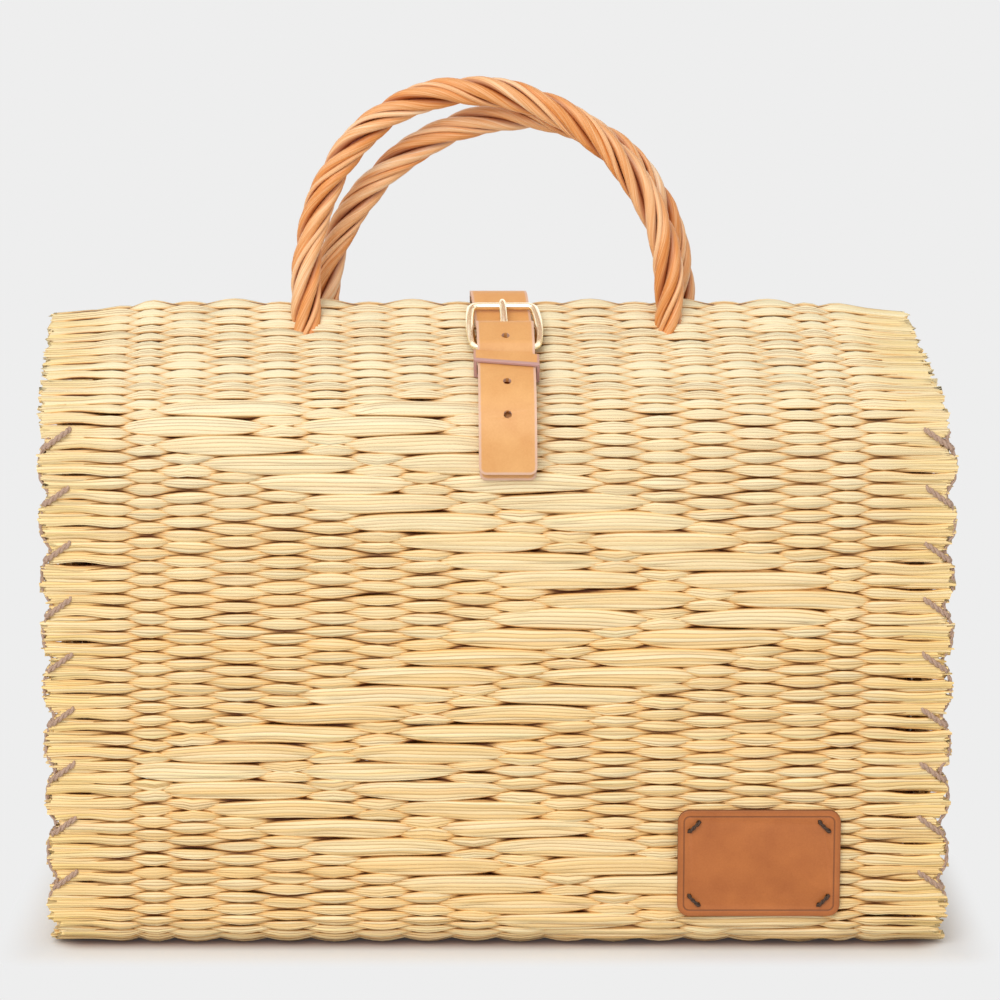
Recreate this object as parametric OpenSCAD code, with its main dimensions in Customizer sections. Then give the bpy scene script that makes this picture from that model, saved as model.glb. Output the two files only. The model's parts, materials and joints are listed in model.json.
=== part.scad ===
// Rush tote bag: one folded mat, two sewn-in gussets, twisted willow handles and a buckled leather strap.
// Millimetres. X across the width, front towards -Y, +Z up. Origin at the middle of the base.

/* [Bag] */
// Width over the rush ends
bag_w = 370; // [330:1:420]
// Depth over the front and back walls
bag_d = 134; // [120:1:160]
// Height of the upright walls, where the shoulder bend begins
wall_h = 207; // [180:1:240]
// Radius of the fold along the bottom, outside
bottom_r = 16; // [12:0.5:24]
// Radius of the shoulder bend, outside
shoulder_r = 30; // [24:0.5:36]
// Slope of the two flaps
roof_slope = 32; // [26:1:38]
// Slit between the edges of the two flaps
ridge_gap = 6; // [5:0.5:10]

/* [Mat] */
// Thickness of the mat over the rush rows
mat_t = 6; // [5:0.25:8]
// Depth of the groove between two rows
row_groove = 1.5; // [0.8:0.1:2]
// Rows from the edge of a flap to the middle of the base
rows_half = 44; // [30:1:50]
// Number of warp cords
warp_count = 16; // [14:2:18]
// Distance between warp cords
warp_pitch = 19.3; // [15:0.1:20.5]
// Width of the pinched band at the two outer warp cords
binding_w = 4; // [3:0.5:6]
// Warp cords that the zigzag band spans
band_warps = 8; // [6:2:8]
// Rows from one turn of the zigzag to the next
zigzag_rows = 9; // [7:1:12]
// Width of the pinch where a cord holds a band of the zigzag down
pinch_w = 9; // [6:0.5:12]
// Depth of that pinch
pinch_deep = 1.3; // [0.8:0.1:1.4]

/* [Gussets] */
// Height of the gussets
gusset_h = 222; // [170:1:228]
// Thickness of a gusset over its rows
gusset_t = 6; // [5:0.25:6.5]
// Distance of a gusset from the rush ends
gusset_inset = 5.5; // [5:0.5:8]
// Number of rows in a gusset
gusset_rows = 27; // [20:1:30]

/* [Seams] */
// Thickness of the jute twine
twine_d = 2.4; // [2:0.1:3]
// Distance between whip stitches on the walls
stitch_pitch = 23; // [20:1:30]
// Height of the top stitch
stitch_top = 214; // [150:1:218]
// Height of the lowest stitch on the walls
stitch_low = 28; // [24:1:40]
// Stitches under the base, at each end
base_stitches = 4; // [2:1:4]
// Slant of the stitches
stitch_tilt = 24; // [10:1:30]
// Reach of a stitch in from the rush ends
stitch_reach = 14.5; // [13.5:0.5:18]
// Depth of a stitch past the inside of the mat
stitch_bite = 6; // [5:0.5:8]

/* [Handles] */
// Distance between the legs of a handle
handle_span = 151; // [120:1:180]
// Rise of the front handle over the flap, to the middle of the rope
front_rise = 94; // [75:1:110]
// Rise of the rear handle over the flap, to the middle of the rope
rear_rise = 83; // [75:1:110]
// Upright part of the front handle's legs over the flap
front_upright = 13; // [0:1:25]
// Upright part of the rear handle's legs over the flap
rear_upright = 2; // [0:1:25]
// Sideways lean of the front handle's crest
front_lean = -7; // [-12:0.5:12]
// Sideways lean of the rear handle's crest
rear_lean = 8; // [-12:0.5:12]
// Thickness of the twisted willow rope
rope_d = 12.5; // [10:0.5:14]
// Length of one full turn of the strands
rope_lay = 68; // [50:1:100]
// Distance of the legs from the middle of the ridge
leg_y = 13.5; // [12:0.5:18]
// Sideways offset of the front handle
front_shift = -4.2; // [-8:0.1:8]
// Sideways offset of the rear handle
rear_shift = 2.2; // [-8:0.1:8]
// Length of the legs inside the bag
leg_in = 30; // [26:1:40]

/* [Strap] */
// Width of the closing strap
strap_w = 23.5; // [20:0.1:23.6]
// Thickness of the closing strap
strap_t = 2.2; // [1.8:0.1:2.4]
// Length of strap on the rear flap
strap_rear = 53; // [45:1:56]
// Height of the strap's tip above the base
strap_tip_z = 201; // [190:1:204]
// Distance between the strap's holes
hole_pitch = 12.5; // [10:0.5:15]
// Diameter of the strap's holes
hole_d = 3.3; // [3:0.1:4]
// Spare holes below the prong
hole_count = 4; // [2:1:4]

/* [Buckle] */
// Distance of the toe bar from the edge of the front flap
toe_s = 10.5; // [9:0.5:13]
// Length of the buckle between its bars
buckle_l = 27; // [26:0.5:28]
// Half width of the buckle, to the middle of an arm
buckle_half_w = 14.3; // [14.2:0.1:16]
// Radius of the buckle's wire
wire_r = 1.4; // [1.2:0.05:1.5]
// Bow of the arms, as a radius
arm_bow_r = 60; // [45:1:90]
// Radius of the buckle's corners
corner_r = 3; // [2.5:0.1:3.5]
// Radius of the prong
prong_r = 1.1; // [0.9:0.05:1.2]
// Thickness of the chape leather
chape_t = 1.8; // [1.5:0.1:2]
// Width of the chape
chape_w = 23; // [20:0.5:23.5]
// Length of the chape under the strap's tip
chape_peek = 3; // [1:0.5:6]
// Width of the keeper along the strap
keeper_w = 7; // [6:0.5:8]
// Thickness of the keeper leather
keeper_t = 1.3; // [1:0.1:1.5]

/* [Patch] */
// Width of the leather patch
patch_w = 67; // [50:1:80]
// Height of the leather patch
patch_h = 45; // [30:1:50]
// Thickness of the leather patch
patch_t = 2; // [1.5:0.1:2.5]
// Corner radius of the patch
patch_r = 5; // [2:0.5:8]
// Middle of the patch in from the right-hand rush ends
patch_from_end = 77.4; // [75:0.2:105]
// Height of the middle of the patch
patch_z = 38; // [30:1:60]
// Thickness of the sewing thread
thread_d = 1.3; // [1:0.1:1.5]

/* [Fits] */
// Gap between soft pieces that lie against each other
lay_gap = 0.3; // [0.2:0.05:0.4]
// Radial clearance of the buckle's hinge
pin_gap = 0.05; // [0.02:0.01:0.1]

/* [Hidden] */
$fn = 32;
eps = 0.01;

rush = "#f2dca0";
rush_dark = "#e6c57c";
willow = "#cf8a4c";
tan_leather = "#e5ad68";
brown_leather = "#b0703a";
brass = "#d9c07a";
jute = "#b79d80";
dark_thread = "#4a3527";

// The mat's half section: slope, shoulder bend, wall, bottom bend and half the base
half_d = bag_d / 2;
turn = 90 - roof_slope;
roof_l = (half_d - shoulder_r * (1 - cos(turn)) - ridge_gap / 2) / cos(roof_slope);
ridge_z = wall_h + shoulder_r * sin(turn) + roof_l * sin(roof_slope);
shoulder_l = shoulder_r * turn * PI / 180;
wall_l = wall_h - bottom_r;
corner_l = bottom_r * PI / 2;
s_shoulder = roof_l;
s_wall = s_shoulder + shoulder_l;
s_corner = s_wall + wall_l;
s_base = s_corner + corner_l;
s_end = s_base + half_d - bottom_r;
row_pitch = s_end / (rows_half + 0.5);
crest_from = 0.22;
crest_to = 0.78;
bend_steps = 8;

// Point of the front half section, s along the outside from the flap's edge and n outwards
function mat_point(s, n) =
    s <= s_shoulder ? [-ridge_gap / 2 - s * cos(roof_slope) - n * sin(roof_slope),
        ridge_z - s * sin(roof_slope) + n * cos(roof_slope)] :
    s <= s_wall ? let (a = turn * (s_wall - s) / shoulder_l)
        [-half_d + shoulder_r - (shoulder_r + n) * cos(a), wall_h + (shoulder_r + n) * sin(a)] :
    s <= s_corner ? [-half_d - n, s_corner - s + bottom_r] :
    s <= s_base ? let (a = 90 * (s - s_corner) / corner_l)
        [-half_d + bottom_r - (bottom_r + n) * cos(a), bottom_r - (bottom_r + n) * sin(a)] :
    [s - s_end, -n];
function reversed(list) = [for (i = [len(list) - 1:-1:0]) list[i]];
function to_rear(points) = [for (p = reversed(points)) [-p[0], p[1]]];
function closed_half(points) = concat(points, to_rear(points));

// Plain half section at one offset, cut upright at the flap's edge
function plain_half(n) = [for (s = concat([-n * tan(roof_slope)],
    [for (i = [0:bend_steps]) s_shoulder + shoulder_l * i / bend_steps],
    [for (i = [0:bend_steps]) s_corner + corner_l * i / bend_steps])) mat_point(s, n)];
function rowed_half() = concat([for (k = [0:rows_half - 1], f = [[0, -row_groove], [crest_from, 0],
    [crest_to, 0]]) mat_point((k + f[0]) * row_pitch, k + f[0] == 0 ? 0 : f[1])],
    [mat_point(rows_half * row_pitch, -row_groove), mat_point((rows_half + crest_from) * row_pitch, 0)]);
mat_inside = closed_half(plain_half(-mat_t));

// Frame of the front flap: x across, y up the slope from the flap's edge, z outwards
module on_flap() { translate([0, -ridge_gap / 2, ridge_z]) rotate([roof_slope, 0, 0]) children(); }
module on_rear_flap() { mirror([0, 1, 0]) on_flap() children(); }
module across(w) { translate([-w / 2, 0, 0]) rotate([90, 0, 90]) linear_extrude(w) children(); }

// Ribbon of leather: a path of [point, bend radius] made round, then given its thickness
function unit(v) = v / norm(v);
function bend_at(path, i) = let (p = path[i][0], r = path[i][1],
    u = unit(path[i - 1][0] - p), v = unit(path[i + 1][0] - p),
    half = acos(u * v) / 2, c = p + unit(u + v) * r / sin(half),
    a0 = atan2((p + u * r / tan(half) - c)[1], (p + u * r / tan(half) - c)[0]),
    side = cross(-u, v) > 0 ? 1 : -1, sweep = 180 - 2 * half)
    [for (k = [0:bend_steps]) c + r * [cos(a0 + side * sweep * k / bend_steps),
        sin(a0 + side * sweep * k / bend_steps)]];
function rounded(path) = [for (i = [0:len(path) - 1], p = path[i][1] == 0 ? [path[i][0]] :
    bend_at(path, i)) p];
function side_of(line, i) = let (d = line[min(i + 1, len(line) - 1)] - line[max(i - 1, 0)])
    unit([-d[1], d[0]]);
function ribbon(line, t) = concat([for (i = [0:len(line) - 1]) line[i] + side_of(line, i) * t / 2],
    [for (i = [len(line) - 1:-1:0]) line[i] - side_of(line, i) * t / 2]);

// Closed skin over rings of points, each with the same number of points
module skin(rings) {
    m = len(rings[0]);
    n = len(rings);
    sides = [for (i = [0:n - 2], j = [0:m - 1])
        let (a = i * m + j, b = i * m + (j + 1) % m, c = b + m, d = a + m) each [[a, c, b], [a, d, c]]];
    polyhedron([for (r = rings, p = r) p], concat(sides, [[for (j = [0:m - 1]) j],
        [for (j = [m - 1:-1:0]) (n - 1) * m + j]]), convexity = 6);
}

// Thread: a closed loop with round corners, w by h in the XY plane
module thread_loop(w, h, r) {
    bend = r + lay_gap;
    for (k = [0, 1]) rotate(180 * k) {
        translate([0, h / 2, 0]) rotate([0, 90, 0]) cylinder(h = w - 2 * bend, r = r, center = true);
        translate([w / 2, 0, 0]) rotate([90, 0, 0]) cylinder(h = h - 2 * bend, r = r, center = true);
        for (q = [0, 1]) translate([(1 - 2 * q) * (w / 2 - bend), h / 2 - bend, 0]) rotate(90 * q)
            rotate_extrude(angle = 90) translate([bend, 0]) circle(r);
    }
}
needle_gap = 0.2;
module needle_hole(h, d) { cylinder(h = h, r = (d / 2 + needle_gap) / cos(30), center = true, $fn = 6); }

// Whip stitches, each in a frame with x along the bag, y out of the wall and z along the seam
wall_stitches = floor((stitch_top - stitch_low) / stitch_pitch) + 1;
stitch_out = twine_d / 2 + lay_gap;
stitch_in = mat_t + stitch_bite;
stitch_span = stitch_reach + stitch_out;
stitch_w = round(2 * stitch_span / cos(stitch_tilt)) / 2;
stitch_h = stitch_out + stitch_in;
stitch_sink = twine_d + 2 * lay_gap;
module at_stitch(sink = 0) {
    translate([bag_w / 2 + stitch_out - stitch_span / 2, stitch_out - stitch_h / 2 - sink, 0])
        rotate([0, stitch_tilt, 0]) children();
}
module at_wall_stitches() {
    for (k = [0:wall_stitches - 1], f = [0, 1]) mirror([0, f, 0])
        translate([0, half_d, stitch_top - k * stitch_pitch]) at_stitch() children();
}
module at_base_stitches() {
    run = bag_d - 2 * bottom_r - 2 * twine_d;
    for (k = [0:base_stitches - 1]) translate([0, (k + 0.5) * run / base_stitches - run / 2, 0])
        rotate([-90, 0, 0]) at_stitch(stitch_sink) children();
}
module stitch_mat_hole() {
    translate([-stitch_w / 2, stitch_h / 2 - mat_t / 2, 0]) rotate([90, 0, 0])
        needle_hole(3 * mat_t, twine_d);
}
module stitch_gusset_hole() {
    translate([0, -stitch_h / 2, 0]) rotate([90, 0, 90]) needle_hole(stitch_w - twine_d, twine_d);
}
module stitch_groove() {
    translate([-stitch_w / 2, stitch_h / 2 - twine_d / 2 - lay_gap, -twine_d / 2 - lay_gap])
        cube([stitch_w, 2 * twine_d, twine_d + 2 * lay_gap]);
}

// Handles: where the legs stand, and the arch as a half ellipse with upright legs
leg_z = ridge_z - (leg_y - ridge_gap / 2) * tan(roof_slope);
mat_rise = mat_t / cos(roof_slope);
strand_r = rope_d / (2 + 2 * sqrt(2));
strand_c = rope_d / 2 - strand_r;
crest_y = rope_d / 2 + lay_gap;
arch_steps = 42;
leg_steps = 6;
twist_per_mm = 360 / rope_lay;
ring_points = 16;
strand_step = 90;
// Radius of the four-stranded rope at an angle from the middle of a strand
function rope_r(a) = let (d = abs((a + strand_step / 2) % strand_step - strand_step / 2))
    strand_c * cos(d) + sqrt(max(0, pow(strand_r, 2) - pow(strand_c * sin(d), 2)));
function arch_point(a, low, rise, lean) = [-handle_span / 2 * cos(a) + lean * pow(sin(a), 2),
    leg_y - (leg_y - crest_y) * sin(a), leg_z + low + rise * sin(a)];
function arch_out(a, rise, lean) = unit([-rise * cos(a), 0, handle_span / 2 * sin(a) + lean * sin(2 * a)]);
// Each ring of the rope: its middle, its outward side and its twist
function rope_rings(low, rise, lean) = let (ring = (leg_in + low) / leg_steps,
    arch_twist = twist_per_mm * (handle_span / 2 + rise) / 2 * PI) concat(
    [for (k = [leg_steps:-1:1]) [arch_point(0, low, rise, lean) - [0, 0, k * ring], [-1, 0, 0],
        -twist_per_mm * k * ring]],
    [for (k = [0:arch_steps]) let (a = 180 * k / arch_steps) [arch_point(a, low, rise, lean),
        arch_out(a, rise, lean), arch_twist * k / arch_steps]],
    [for (k = [1:leg_steps]) [arch_point(180, low, rise, lean) - [0, 0, k * ring], [1, 0, 0],
        arch_twist + twist_per_mm * k * ring]]);
module willow_rope(low, rise, lean) {
    skin([for (g = rope_rings(low, rise - low, lean)) [for (j = [0:ring_points - 1])
        let (a = 360 * j / ring_points, t = a + g[2])
        g[0] + rope_r(a) * (cos(t) * [0, 1, 0] + sin(t) * g[1])]]);
}
module at_handle(front) {
    translate([front ? front_shift : rear_shift, 0, 0]) rotate(front ? 180 : 0) children();
}
module at_legs() { for (x = [-1, 1]) translate([x * handle_span / 2, leg_y, 0]) children(); }
leg_hole_r = rope_d / 2 + lay_gap;
tie_r = leg_hole_r + twine_d / 2;
tie_turns = 3;
tie_pitch = 0.9 * twine_d;
tie_top = leg_z - mat_rise - (tie_r + twine_d / 2) * tan(roof_slope) - lay_gap;

// Buckle and strap, as distances down the flap from its edge and heights over it
heel_s = toe_s + buckle_l;
chape_low = keeper_t + 2 * lay_gap;
wrap_bite = 0.15;
wrap_r = wire_r + pin_gap + chape_t / 2 - wrap_bite;
heel_n = chape_low + chape_t / 2 + wrap_r;
layer_gap = 0.1;
chape_n = chape_low + chape_t / 2;
fold_n = chape_n + chape_t + layer_gap;
strap_flat_n = lay_gap + strap_t / 2;
strap_over_n = heel_n + wrap_r + chape_t / 2 + lay_gap + strap_t / 2;
strap_keep_n = fold_n + chape_t / 2 + lay_gap + strap_t / 2;
prong_angle = asin((wire_r + prong_r + pin_gap) / buckle_l);
climb_after = 13.5;
climb_slope = 45;
cross_s = toe_s + climb_after;
cross_n = heel_n + (heel_s - cross_s) * tan(prong_angle);
climb_s0 = cross_s - (cross_n - strap_flat_n) / tan(climb_slope);
climb_s1 = cross_s + (strap_over_n - cross_n) / tan(climb_slope);
drop_after = 2.5;
drop_l = 4;
drop_s0 = heel_s + drop_after;
drop_s1 = drop_s0 + drop_l;
keeper_after = 1.8;
keeper_s = drop_s1 + keeper_after;
chape_wall_n = lay_gap + chape_t / 2;
strap_wall_n = chape_wall_n + chape_t / 2 + thread_d + 2 * lay_gap + strap_t / 2;
ridge_bend = 7;
strap_bend = 4;
fold_end = 0.8;
fold_end_s = s_shoulder - fold_end;
fold_rise_s = heel_s + 6;
fold_bend = 3;
wrap_end_s = heel_s + 1.6;
wrap_end_bend = 1.5;
chape_tip_z = strap_tip_z - chape_peek;
function flap_point(s, n) = mat_point(min(s, s_shoulder), n) - max(0, s - s_shoulder)
    * [cos(roof_slope), sin(roof_slope)];
// Corner where a line over the flap meets a line over the front wall
function shoulder_corner(n, wall_n) = let (y = -half_d - wall_n, p = flap_point(0, n))
    [y, p[1] - (p[0] - y) * tan(roof_slope)];
function rear_point(s, n) = [-flap_point(s, n)[0], flap_point(s, n)[1]];
ridge_point = [0, ridge_z + (ridge_gap / 2) * tan(roof_slope) + strap_flat_n / cos(roof_slope)];
strap_path = rounded([[rear_point(strap_rear, strap_flat_n), 0],
    [ridge_point, ridge_bend],
    [flap_point(climb_s0, strap_flat_n), strap_bend],
    [flap_point(climb_s1, strap_over_n), strap_bend],
    [flap_point(drop_s0, strap_over_n), strap_bend],
    [flap_point(drop_s1, strap_keep_n), strap_bend],
    [shoulder_corner(strap_keep_n, strap_wall_n), shoulder_r + strap_wall_n],
    [[-half_d - strap_wall_n, strap_tip_z], 0]]);
chape_path = rounded([[flap_point(fold_end_s, fold_n), 0],
    [flap_point(fold_rise_s, fold_n), fold_bend],
    [flap_point(wrap_end_s, heel_n + wrap_r), wrap_end_bend],
    [flap_point(heel_s - wrap_r, heel_n + wrap_r), wrap_r - eps],
    [flap_point(heel_s - wrap_r, chape_n), wrap_r - eps],
    [shoulder_corner(chape_n, chape_wall_n), shoulder_r],
    [[-half_d - chape_wall_n, chape_tip_z], 0]]);

// Sewing: rows of loops through leather and mat, each in a frame with x along the row and z outwards
sew_run = 5;
sew_gap = 1.6;
sew_count = 3;
strap_sew_rows = [4, 12];
chape_sew_up = 2.6;
patch_sew_in = 1.8;
patch_sew_turn = 45;
patch_x = bag_w / 2 - patch_from_end;
module sewn_row(count) {
    for (k = [0:count - 1]) translate([(k - (count - 1) / 2) * (sew_run + sew_gap), 0, 0]) children();
}
module sewing(top) {
    rotate([90, 0, 0]) translate([0, (top - mat_t) / 2, 0])
        thread_loop(sew_run, top + mat_t + thread_d + lay_gap, thread_d / 2);
}
module sewing_holes() {
    for (x = [-1, 1]) translate([x * sew_run / 2, 0, 0]) needle_hole(4 * mat_t, thread_d);
}
module at_strap_sewing() {
    for (d = strap_sew_rows) on_rear_flap() translate([0, d - strap_rear, 0]) sewn_row(sew_count) children();
}
module at_chape_sewing() {
    translate([0, -half_d, strap_tip_z + chape_sew_up]) rotate([90, 0, 0]) sewn_row(sew_count) children();
}
module at_patch_sewing() {
    inset = patch_r + patch_sew_in;
    translate([patch_x, -half_d, patch_z]) rotate([90, 0, 0]) for (i = [-1, 1], j = [-1, 1])
        translate([i * (patch_w / 2 - inset), j * (patch_h / 2 - inset), 0])
            rotate(-i * j * patch_sew_turn) children();
}

// Pinches on one wall: each row's band of long floats is held at both ends and in the middle
pinch_air = 0.2;
function band_start(k) = band_warps - abs((k % (2 * zigzag_rows)) - zigzag_rows);
module zigzag_pinches() {
    first_row = ceil(s_wall / row_pitch);
    last_row = floor(s_corner / row_pitch) - 1;
    for (k = [first_row:last_row], i = [0:2]) {
        x = (band_start(k + zigzag_rows) + i * band_warps / 2 - (warp_count - 1) / 2) * warp_pitch;
        if (abs(x) < (warp_count - 2) * warp_pitch / 2)
            translate([x, -half_d, s_corner + bottom_r - (k + 0.5) * row_pitch])
                linear_extrude(row_pitch - pinch_air, center = true)
                    polygon([[-pinch_w / 2, -pinch_air], [pinch_w / 2, -pinch_air], [0, pinch_deep]]);
    }
}

module mat_section() { polygon(concat(closed_half(rowed_half()), reversed(mat_inside))); }
module pinched_section() { polygon(concat(closed_half(plain_half(-row_groove)), reversed(mat_inside))); }
module rush_mat() {
    bind_x = (warp_count - 1) * warp_pitch / 2;
    fringe_w = bag_w / 2 - bind_x - binding_w / 2;
    color(rush) difference() {
        union() {
            across(2 * bind_x - binding_w) mat_section();
            for (x = [-1, 1]) {
                translate([x * bind_x, 0, 0]) across(binding_w) pinched_section();
                translate([x * (bag_w - fringe_w) / 2, 0, 0]) across(fringe_w) mat_section();
            }
        }
        for (e = [0, 1]) mirror([e, 0, 0]) {
            at_wall_stitches() stitch_mat_hole();
            at_base_stitches() {
                stitch_mat_hole();
                stitch_groove();
            }
        }
        for (front = [true, false]) at_handle(front) at_legs()
            translate([0, 0, leg_z]) cylinder(h = 4 * mat_t, r = leg_hole_r, center = true);
        for (f = [0, 1]) mirror([0, f, 0]) zigzag_pinches();
        at_strap_sewing() sewing_holes();
        at_chape_sewing() sewing_holes();
        at_patch_sewing() sewing_holes();
    }
}

module gusset_right() {
    fit = mat_t + lay_gap;
    pitch = gusset_h / gusset_rows;
    outer_x = bag_w / 2 - gusset_inset;
    rows = [for (k = [0:gusset_rows - 1], f = [[0, row_groove], [crest_from, 0], [crest_to, 0]])
        [outer_x - f[1], (k + f[0]) * pitch]];
    color(rush_dark) difference() {
        intersection() {
            rotate([90, 0, 0]) linear_extrude(bag_d, center = true) polygon(concat(rows,
                [[outer_x - row_groove, gusset_h], [outer_x - gusset_t, gusset_h], [outer_x - gusset_t, 0]]));
            translate([bag_w / 2, 0, 0]) across(bag_w / 2) polygon(closed_half(plain_half(-fit)));
        }
        at_wall_stitches() stitch_gusset_hole();
        at_base_stitches() stitch_gusset_hole();
    }
}
module gusset_left() { mirror([1, 0, 0]) gusset_right(); }

module seam_twine_right() {
    color(jute) {
        at_wall_stitches() thread_loop(stitch_w, stitch_h, twine_d / 2);
        at_base_stitches() thread_loop(stitch_w, stitch_h, twine_d / 2);
    }
}
module seam_twine_left() { mirror([1, 0, 0]) seam_twine_right(); }

module handle_front() { color(willow) at_handle(true) willow_rope(front_upright, front_rise, -front_lean); }
module handle_rear() { color(willow) at_handle(false) willow_rope(rear_upright, rear_rise, rear_lean); }
module handle_ties() {
    color(jute) for (front = [true, false]) at_handle(front) at_legs()
        rotate_extrude() for (k = [0:tie_turns - 1]) {
            translate([tie_r, tie_top - twine_d / 2 - k * tie_pitch]) circle(twine_d / 2);
        }
}

module closure_strap() {
    tip_r = 3;
    slot_l = 7.8;
    slot_shift = 1.1;
    color(tan_leather) difference() {
        across(strap_w) polygon(ribbon(strap_path, strap_t));
        on_flap() translate([0, -cross_s, cross_n]) rotate([-climb_slope, 0, 0])
            translate([-hole_d / 2, -slot_l / 2 - slot_shift, -2 * strap_t])
                cube([hole_d, slot_l, 4 * strap_t]);
        for (k = [1:hole_count]) strap_hole(cross_s + k * hole_pitch);
        at_strap_sewing() sewing_holes();
        for (x = [-1, 1]) translate([x * (strap_w / 2 - tip_r), 0, strap_tip_z + tip_r])
            rotate([90, 0, 0]) linear_extrude(bag_d) difference() {
                translate([x > 0 ? 0 : -tip_r - eps, -tip_r - eps]) square(tip_r + eps);
                circle(tip_r);
            }
    }
}
// Hole across the strap where it lies on the flap, or on the shoulder bend
module strap_hole(s) {
    a = max(0, s - s_shoulder) / shoulder_l * turn;
    p = mat_point(s, 0);
    translate([0, p[0], p[1]]) rotate([roof_slope + a, 0, 0])
        cylinder(h = 12 * strap_t, d = hole_d, center = true);
}

module strap_stitches() { color(dark_thread) at_strap_sewing() sewing(strap_t + lay_gap); }
module chape_stitches() { color(dark_thread) at_chape_sewing() sewing(chape_t + lay_gap); }
module patch_stitches() { color(dark_thread) at_patch_sewing() sewing(patch_t + lay_gap); }

prong_eye_w = 3.4;
module buckle_chape() {
    notch_w = prong_eye_w + 4 * lay_gap;
    wrap_w = 20;
    color(tan_leather) difference() {
        across(chape_w) polygon(ribbon(chape_path, chape_t));
        on_flap() translate([0, -heel_s, heel_n]) {
            rotate([0, 90, 0]) cylinder(h = 2 * chape_w, r = wire_r + pin_gap, center = true);
            translate([-notch_w / 2, -wrap_r - chape_t, -2 * wrap_r])
                cube([notch_w, 4 * wrap_r, 4 * wrap_r]);
            for (x = [-1, 1]) translate([x * (wrap_w / 2 + chape_w / 2), 0, 0])
                cube([chape_w, 4 * wrap_r, 4 * wrap_r], center = true);
        }
        at_chape_sewing() sewing_holes();
    }
}

// Buckle: a round heel bar, and one wire that runs up both bowed arms and across the toe
function arc(c, r, from, to, steps) = [for (k = [0:steps]) let (a = from + (to - from) * k / steps)
    c + r * [cos(a), sin(a)]];
module buckle_frame() {
    half_l = buckle_l / 2;
    wire_sides = 12;
    corner_steps = 5;
    arm_a = asin((half_l - corner_r) / (arm_bow_r - corner_r));
    bow = [buckle_half_w - arm_bow_r, 0];
    corner = [bow[0] + (arm_bow_r - corner_r) * cos(arm_a), half_l - corner_r];
    corner_step = (90 - arm_a) / corner_steps;
    arm = concat(arc([corner[0], -corner[1]], corner_r, -90, -arm_a - corner_step, corner_steps - 1),
        arc(bow, arm_bow_r, -arm_a, arm_a, corner_steps),
        arc(corner, corner_r, arm_a + corner_step, 90, corner_steps - 1));
    wire = concat(arm, [for (p = reversed(arm)) [-p[0], p[1]]]);
    color(brass) on_flap() translate([0, half_l - heel_s, heel_n]) {
        translate([0, -half_l, 0]) rotate([0, 90, 0])
            cylinder(h = 2 * corner[0] + wire_r, r = wire_r, center = true);
        skin([for (i = [0:len(wire) - 1]) let (u = side_of(wire, i)) [for (j = [0:wire_sides - 1])
            let (t = 360 * j / wire_sides) concat(wire[i] + wire_r * cos(t) * u, wire_r * sin(t))]]);
    }
}

module buckle_prong() {
    eye_wall = 1.3;
    tip_over = 3.2;
    root_in = 0.5;
    eye_r = wire_r + pin_gap + eye_wall;
    length = buckle_l + tip_over;
    root = wire_r + pin_gap + root_in;
    color(brass) on_flap() translate([0, -heel_s, heel_n]) difference() {
        union() {
            rotate([0, 90, 0]) cylinder(h = prong_eye_w, r = eye_r, center = true);
            rotate([-90 + prong_angle, 0, 0]) translate([0, 0, root]) rotate_extrude() {
                square([prong_r, length - root - prong_r]);
                intersection() {
                    translate([0, length - root - prong_r]) circle(prong_r);
                    translate([0, length - root - prong_r]) square(2 * prong_r);
                }
            }
        }
        rotate([0, 90, 0]) cylinder(h = 2 * prong_eye_w, r = wire_r + pin_gap, center = true);
    }
}

module strap_keeper() {
    in_w = strap_w + 2 * lay_gap;
    low_n = lay_gap + keeper_t;
    in_h = strap_keep_n + strap_t / 2 + lay_gap - low_n;
    color(tan_leather) on_flap() translate([0, -keeper_s, low_n]) rotate([90, 0, 0])
        linear_extrude(keeper_w) difference() {
            translate([-in_w / 2 - keeper_t, -keeper_t]) square([in_w + 2 * keeper_t, in_h + 2 * keeper_t]);
            translate([-in_w / 2, 0]) square([in_w, in_h]);
        }
}

module label_patch() {
    color(brown_leather) difference() {
        translate([patch_x, -half_d - lay_gap, patch_z]) rotate([90, 0, 0]) linear_extrude(patch_t) union() {
            square([patch_w - 2 * patch_r, patch_h], center = true);
            square([patch_w, patch_h - 2 * patch_r], center = true);
            for (i = [-1, 1], j = [-1, 1])
                translate([i * (patch_w / 2 - patch_r), j * (patch_h / 2 - patch_r)]) circle(patch_r);
        }
        at_patch_sewing() sewing_holes();
    }
}

rush_mat();
gusset_left();
gusset_right();
seam_twine_left();
seam_twine_right();
handle_front();
handle_rear();
handle_ties();
closure_strap();
strap_stitches();
buckle_chape();
chape_stitches();
buckle_frame();
buckle_prong();
strap_keeper();
label_patch();
patch_stitches();
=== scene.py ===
import json
import math

import bmesh
import bpy
from mathutils import Matrix, Vector

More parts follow.
